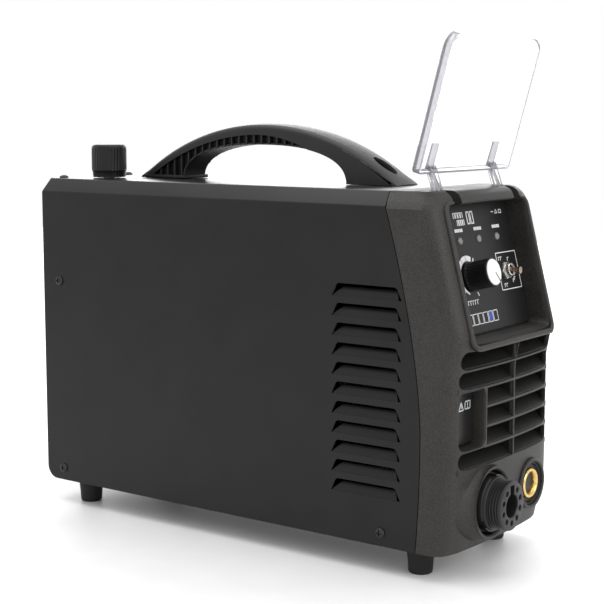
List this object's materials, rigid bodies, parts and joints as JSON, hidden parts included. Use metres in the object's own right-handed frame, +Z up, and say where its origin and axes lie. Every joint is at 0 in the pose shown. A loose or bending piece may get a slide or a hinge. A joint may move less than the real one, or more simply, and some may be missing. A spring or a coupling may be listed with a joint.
{
  "type": "plasma cutter power unit",
  "caption": "Compact plasma cutter unit: louvred metal case, moulded front with lidded controls, torch and earth sockets, carrying handle and air regulator.",
  "frame": {"origin": "centre of the overall box, on the surface the feet stand on", "axes": "+Z up; the front with the controls and sockets faces -Y; +Y towards the rear panel; +X towards the earth socket side"},
  "size_m": [0.1404, 0.4114, 0.3551],
  "materials": {
    "cover_paint": "satin black powder coat",
    "front_plastic": "fine-grained dark warm grey moulding",
    "black_plastic": "moulded",
    "socket_plastic": "glass-filled moulding",
    "pale_cap": "smooth",
    "clear_lid": "clear moulded sheet, faint smoke tint",
    "rubber": "moulded",
    "zinc_steel": "zinc plated",
    "chrome_trim": "plated",
    "brass": "machined",
    "aluminium": "cast and extruded",
    "copper_coil": "varnished winding",
    "board": "solder mask",
    "led_lens": "diffused lens",
    "clear_bowl": "clear bowl",
    "air_hose": "smooth polyurethane",
    "label_film": "printed film",
    "gauge": "black case, white dial"
  },
  "bodies": {
    "unit": {"cover_shell": "cover_paint", "base_tray": "zinc_steel", "rear_panel": "cover_paint", "front_moulding": "front_plastic", "control_fascia": "black_plastic", "control_board": "board", "potentiometer": "zinc_steel", "toggle_switch_body": "chrome_trim", "toggle_nut": "chrome_trim", "label_plate": "label_film", "hinge_pin_left": "zinc_steel", "hinge_pin_right": "zinc_steel", "torch_socket": "socket_plastic", "torch_nut": "black_plastic", "earth_socket_body": "black_plastic", "earth_socket_brass": "brass", "handle": "black_plastic", "handle_screw_1": "zinc_steel", "handle_screw_2": "zinc_steel", "regulator_body": "aluminium", "regulator_bowl": "clear_bowl", "pressure_gauge": "gauge", "air_inlet_nipple": "brass", "inlet_hose": "air_hose", "solenoid_valve": "brass", "outlet_hose": "air_hose", "torch_hose": "air_hose", "fan_frame": "black_plastic", "fan_guard": "chrome_trim", "power_board": "board", "heat_sink": "aluminium", "capacitor_1": "black_plastic", "capacitor_2": "black_plastic", "main_transformer": "zinc_steel", "output_choke": "copper_coil", "power_switch_body": "black_plastic", "cable_gland": "black_plastic", "indicator_led_1": "led_lens", "indicator_led_2": "led_lens", "indicator_led_3": "led_lens", "top_screw_1": "zinc_steel", "top_screw_2": "zinc_steel", "side_screw_left_1": "zinc_steel", "side_screw_left_2": "zinc_steel", "side_screw_left_3": "zinc_steel", "side_screw_right_1": "zinc_steel", "side_screw_right_2": "zinc_steel", "side_screw_right_3": "zinc_steel", "foot_front_left": "rubber", "foot_front_right": "rubber", "foot_rear_left": "rubber", "foot_rear_right": "rubber"},
    "lid_body": {"lid": "clear_lid"},
    "knob_body": {"current_knob": "black_plastic", "current_knob_cap": "pale_cap"},
    "toggle_body": {"toggle_lever": "chrome_trim"},
    "regulator_knob_body": {"regulator_knob": "black_plastic"},
    "fan_body": {"fan_rotor": "black_plastic"},
    "rocker_body": {"power_rocker": "black_plastic"}
  },
  "joints": [
    {"name": "lid_hinge", "type": "hinge", "parent": "unit", "child": "lid_body", "pos_m": [0, -0.158, 0.247], "axis": [1, 0, 0], "range_deg": [0, 150]},
    {"name": "current_knob_turn", "type": "hinge", "parent": "unit", "child": "knob_body", "pos_m": [-0.017, -0.16575, 0.19528], "axis": [0, -0.9681, 0.2504], "range_deg": [-280, 0]},
    {"name": "toggle_throw", "type": "hinge", "parent": "unit", "child": "toggle_body", "pos_m": [0.0315, -0.16904, 0.19613], "axis": [-1, 0, 0], "range_deg": [0, 24]},
    {"name": "regulator_turn", "type": "hinge", "parent": "unit", "child": "regulator_knob_body", "pos_m": [-0.032, 0.145, 0.253], "axis": [0, 0, 1], "range_deg": [-720, 720]},
    {"name": "fan_spin", "type": "hinge", "parent": "unit", "child": "fan_body", "pos_m": [0, 0.168, 0.0687], "axis": [0, 1, 0], "continuous": true},
    {"name": "power_rock", "type": "hinge", "parent": "unit", "child": "rocker_body", "pos_m": [0.044, 0.182, 0.193], "axis": [1, 0, 0], "range_deg": [0, 16]}
  ]
}
